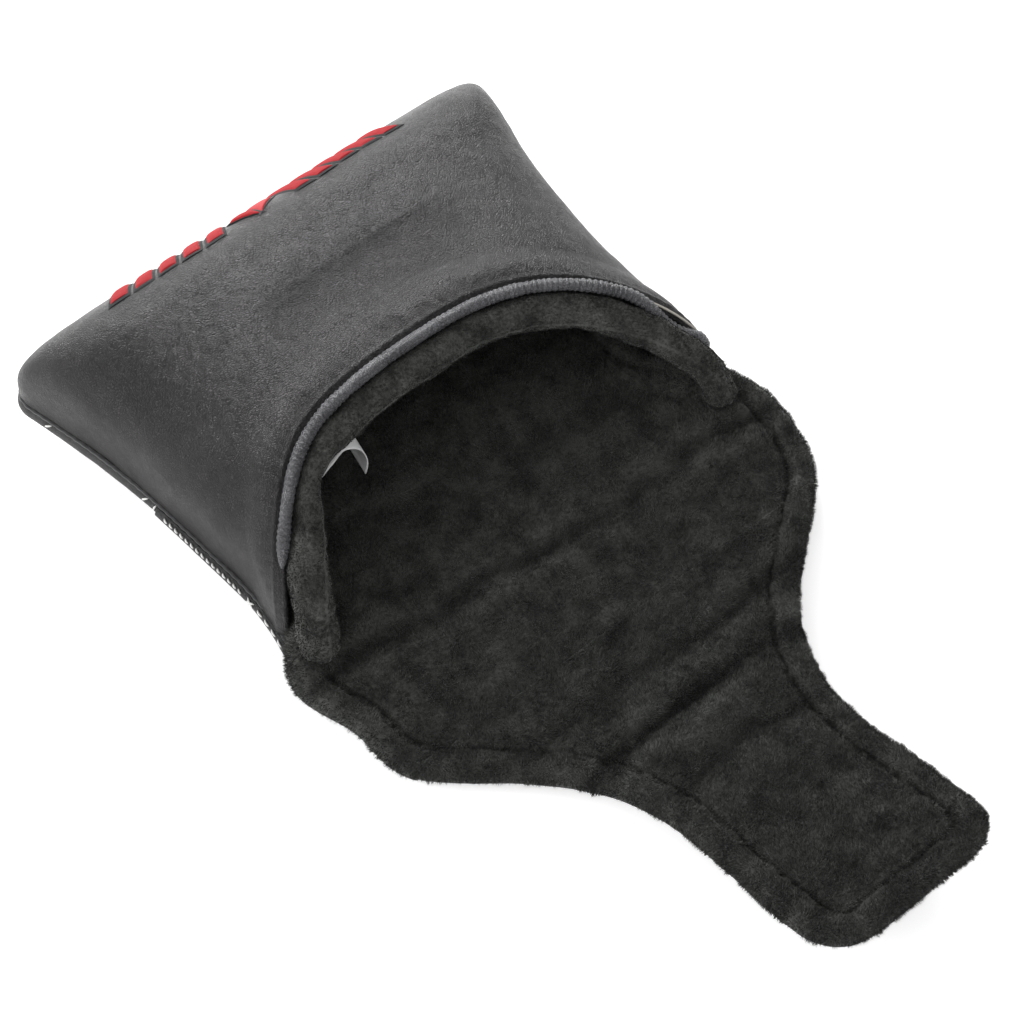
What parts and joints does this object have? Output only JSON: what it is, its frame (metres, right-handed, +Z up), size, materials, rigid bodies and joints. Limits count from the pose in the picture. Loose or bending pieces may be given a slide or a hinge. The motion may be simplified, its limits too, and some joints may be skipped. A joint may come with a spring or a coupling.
{
  "type": "putter head cover",
  "caption": "Padded leather mallet putter head cover with an arched mouth, fleece lining and a folding flap and tongue that close over the top.",
  "frame": {"origin": "on the resting plane, midway between the two mouth corners", "axes": "+Z up from the sole, +Y from the mouth to the closed end, +X across to the right as seen from the mouth"},
  "size_m": [0.143, 0.2439, 0.0445],
  "materials": {
    "black_leather": "soft satin, fine grain",
    "black_fleece": "short plush pile",
    "foam": "open-cell foam",
    "red_thread": "satin stitch",
    "black_thread": "twisted thread",
    "white_thread": "twisted thread",
    "white_ribbon": "satin ribbon",
    "backing_cloth": "nonwoven",
    "magnet_metal": "nickel plated"
  },
  "bodies": {
    "pouch": {"top_leather": "black_leather", "sole_front_leather": "black_leather", "sole_rear_leather": "black_leather", "side_seam_thread": "black_thread", "sole_stitching": "white_thread", "top_foam": "foam", "sole_foam": "foam", "top_lining": "black_fleece", "floor_lining": "black_fleece", "corner_rolls": "black_fleece", "mouth_piping": "black_leather", "piping_cord": "backing_cloth", "collar_roll": "black_fleece", "collar_core": "foam", "emblem_fill": "red_thread", "emblem_outline": "black_thread", "emblem_backing": "backing_cloth", "care_label": "white_ribbon", "top_magnets": "magnet_metal", "top_magnet_pocket": "backing_cloth"},
    "flap": {"flap_leather": "black_leather", "flap_foam": "foam", "flap_lining": "black_fleece", "flap_border_roll": "black_fleece", "flap_channel_stitching": "black_thread"},
    "tongue": {"tongue_leather": "black_leather", "tongue_foam": "foam", "tongue_lining": "black_fleece", "tongue_border_roll": "black_fleece", "tongue_channel_stitching": "black_thread", "tongue_magnets": "magnet_metal", "tongue_magnet_pocket": "backing_cloth"}
  },
  "joints": [
    {"name": "flap_fold", "type": "hinge", "parent": "pouch", "child": "flap", "pos_m": [0, -0.014, 0.00822], "axis": [-1, 0, 0], "range_deg": [0, 125]},
    {"name": "tongue_fold", "type": "hinge", "parent": "flap", "child": "tongue", "pos_m": [0, -0.066, 0.01023], "axis": [-1, 0, 0], "range_deg": [0, 46]}
  ]
}
